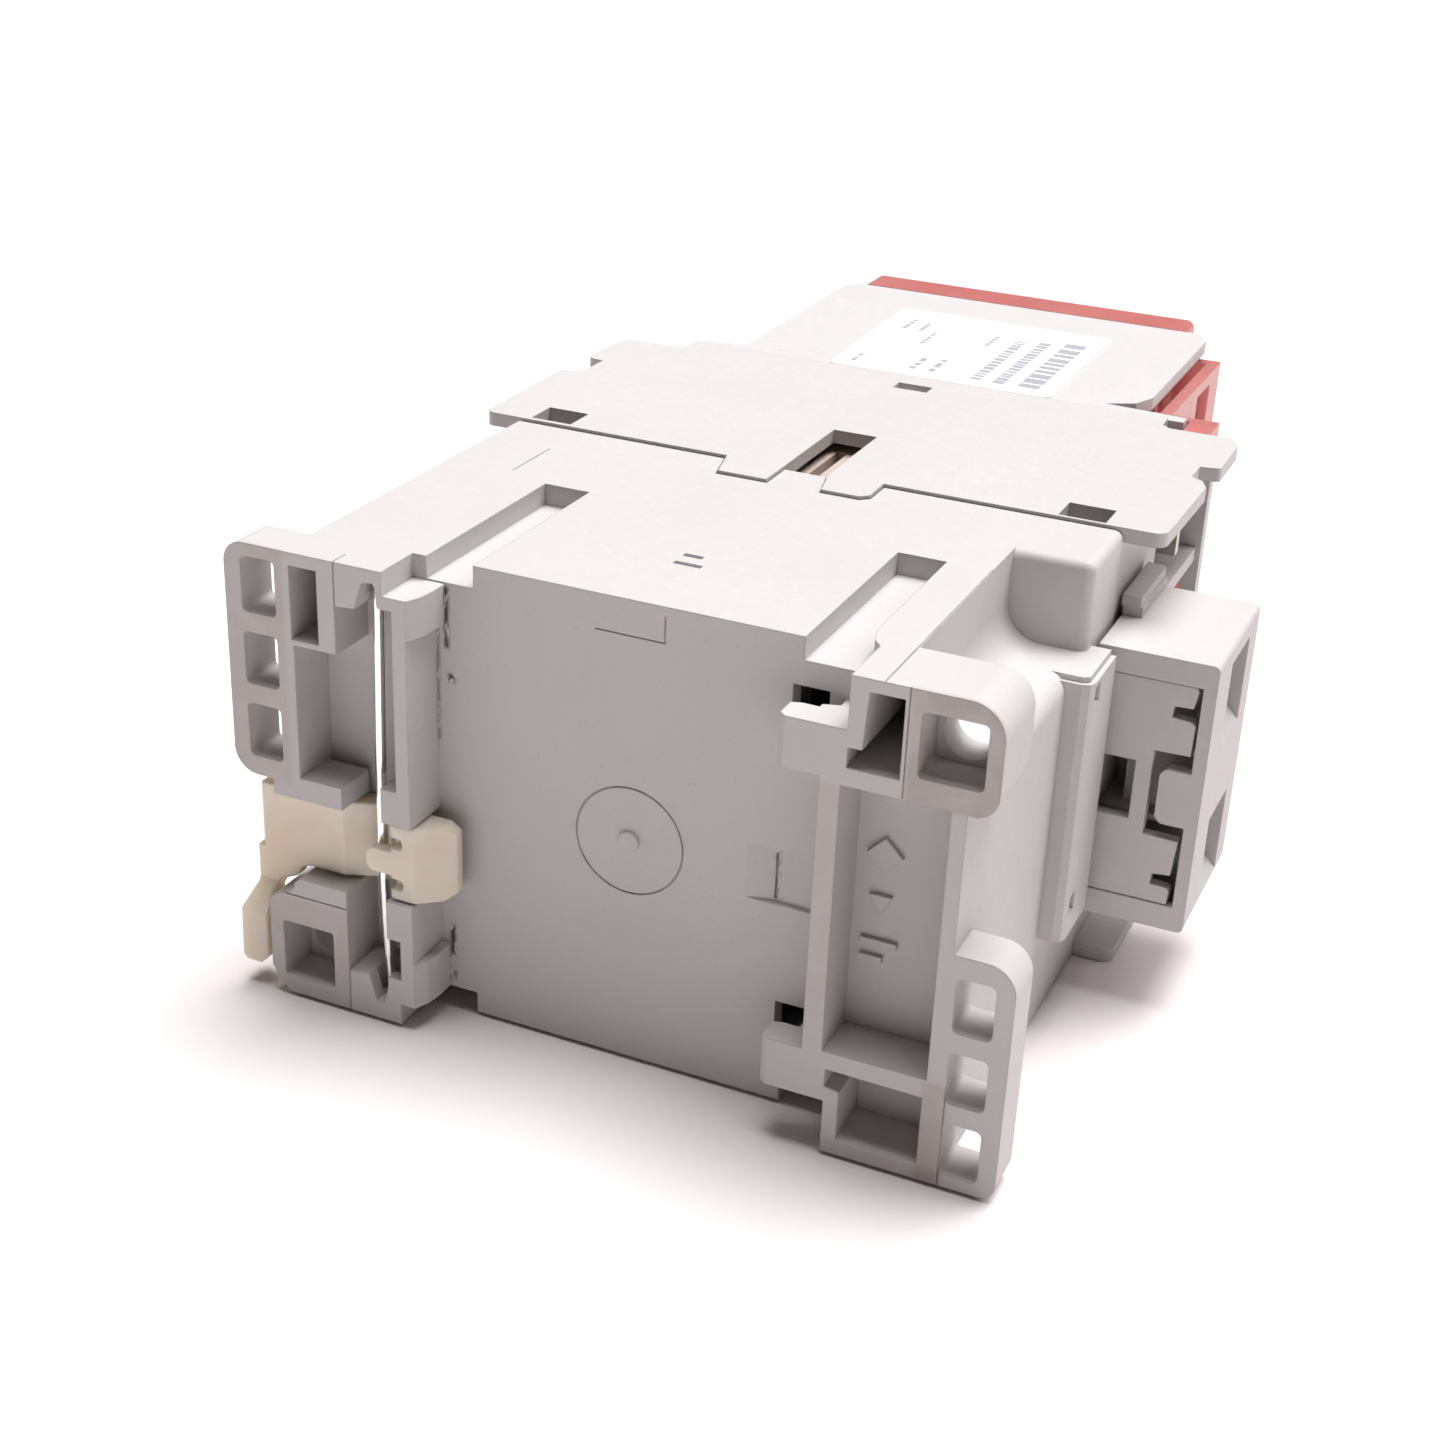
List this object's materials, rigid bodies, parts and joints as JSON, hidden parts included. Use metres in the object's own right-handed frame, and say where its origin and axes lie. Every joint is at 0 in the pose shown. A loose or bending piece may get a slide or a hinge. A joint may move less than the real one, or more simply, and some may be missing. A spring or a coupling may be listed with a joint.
{
  "type": "din rail contactor",
  "caption": "Electromagnetic contactor with DIN rail foot and sprung latch, coil terminal block, double-break contacts, front auxiliary contact block and translucent safety cover.",
  "frame": {"origin": "middle of the two diagonal fixing holes, on the mounting plane", "axes": "+Y from the mounting plane towards the front and the safety cover, +X along the height from the latch end to the coil terminals, +Z across the width; the object lies on its lower side face"},
  "size_m": [0.0808, 0.1184, 0.0452],
  "materials": {
    "grey_housing": "matte moulded light grey polyamide",
    "grey_cover": "matte moulded light grey polyamide",
    "grey_block": "matte moulded light grey polyamide",
    "natural_nylon": "translucent natural nylon",
    "spring_steel": "bright drawn spring wire",
    "core_steel": "laminated electrical steel",
    "shading_copper": "bare copper",
    "coil_copper": "enamelled copper wire under tape",
    "cushion_rubber": "black rubber",
    "bobbin_plastic": "natural glass-filled plastic",
    "carrier_plastic": "beige moulded thermoset",
    "contact_copper": "copper alloy with silver-alloy tips",
    "zinc_steel": "zinc-plated steel",
    "red_cover": "translucent red polycarbonate",
    "white_label": "plain printed paper label"
  },
  "bodies": {
    "housing": {"base_housing": "grey_housing", "core_cushion": "cushion_rubber", "fixed_core": "core_steel", "core_rivets": "zinc_steel", "shading_rings": "shading_copper", "coil_bobbin": "bobbin_plastic", "coil_winding": "coil_copper", "coil_terminal_strips": "contact_copper", "coil_terminal_block": "grey_block", "coil_terminal_tray": "grey_block", "coil_terminal_clamps": "zinc_steel", "coil_terminal_screws": "zinc_steel", "contact_housing": "grey_cover", "terminal_cover": "grey_cover", "terminal_clamps": "zinc_steel", "terminal_screws": "zinc_steel", "aux_housing": "grey_block", "aux_fixed_contacts": "contact_copper", "aux_terminal_clamps": "zinc_steel", "aux_terminal_screws": "zinc_steel", "safety_cover": "red_cover", "rating_label": "white_label", "latch_spring": "spring_steel", "return_springs": "spring_steel", "line_contact_1": "contact_copper", "line_contact_2": "contact_copper", "line_contact_3": "contact_copper", "line_contact_4": "contact_copper", "load_contact_1": "contact_copper", "load_contact_2": "contact_copper", "load_contact_3": "contact_copper", "load_contact_4": "contact_copper"},
    "latch": {"rail_latch": "natural_nylon"},
    "carrier": {"contact_carrier": "carrier_plastic", "armature": "core_steel", "armature_pin": "zinc_steel", "contact_springs": "spring_steel"},
    "bridge_1": {"moving_bridge_1": "contact_copper"},
    "bridge_2": {"moving_bridge_2": "contact_copper"},
    "bridge_3": {"moving_bridge_3": "contact_copper"},
    "bridge_4": {"moving_bridge_4": "contact_copper"},
    "aux_carrier": {"aux_carrier": "carrier_plastic", "aux_bridge_1": "contact_copper", "aux_bridge_2": "contact_copper", "aux_bridge_3": "contact_copper", "aux_bridge_4": "contact_copper"}
  },
  "joints": [
    {"name": "latch_slide", "type": "slide", "parent": "housing", "child": "latch", "axis": [-1, 0, 0], "range_m": [0, 0.0045], "stiffness_N_per_m": 1500, "springref_m": -0.002, "deforming": ["latch_spring"]},
    {"name": "carrier_slide", "type": "slide", "parent": "housing", "child": "carrier", "axis": [0, -1, 0], "range_m": [0, 0.005], "stiffness_N_per_m": 900, "springref_m": -0.003, "deforming": ["return_springs"]},
    {"name": "bridge_overtravel_1", "type": "slide", "parent": "carrier", "child": "bridge_1", "axis": [0, 1, 0], "range_m": [0, 0.0015], "deforming": ["contact_springs"]},
    {"name": "bridge_overtravel_2", "type": "slide", "parent": "carrier", "child": "bridge_2", "axis": [0, 1, 0], "range_m": [0, 0.0015], "deforming": ["contact_springs"]},
    {"name": "bridge_overtravel_3", "type": "slide", "parent": "carrier", "child": "bridge_3", "axis": [0, 1, 0], "range_m": [0, 0.0015], "deforming": ["contact_springs"]},
    {"name": "bridge_overtravel_4", "type": "slide", "parent": "carrier", "child": "bridge_4", "axis": [0, 1, 0], "range_m": [0, 0.0015], "deforming": ["contact_springs"]},
    {"name": "aux_slide", "type": "slide", "parent": "housing", "child": "aux_carrier", "axis": [0, -1, 0], "range_m": [0, 0.005]}
  ],
  "couplings": [
    {"joint": "bridge_overtravel_1", "follows": "carrier_slide", "ratio": 0.3},
    {"joint": "bridge_overtravel_2", "follows": "carrier_slide", "ratio": 0.3},
    {"joint": "bridge_overtravel_3", "follows": "carrier_slide", "ratio": 0.3},
    {"joint": "bridge_overtravel_4", "follows": "carrier_slide", "ratio": 0.3},
    {"joint": "aux_slide", "follows": "carrier_slide", "ratio": 1}
  ]
}
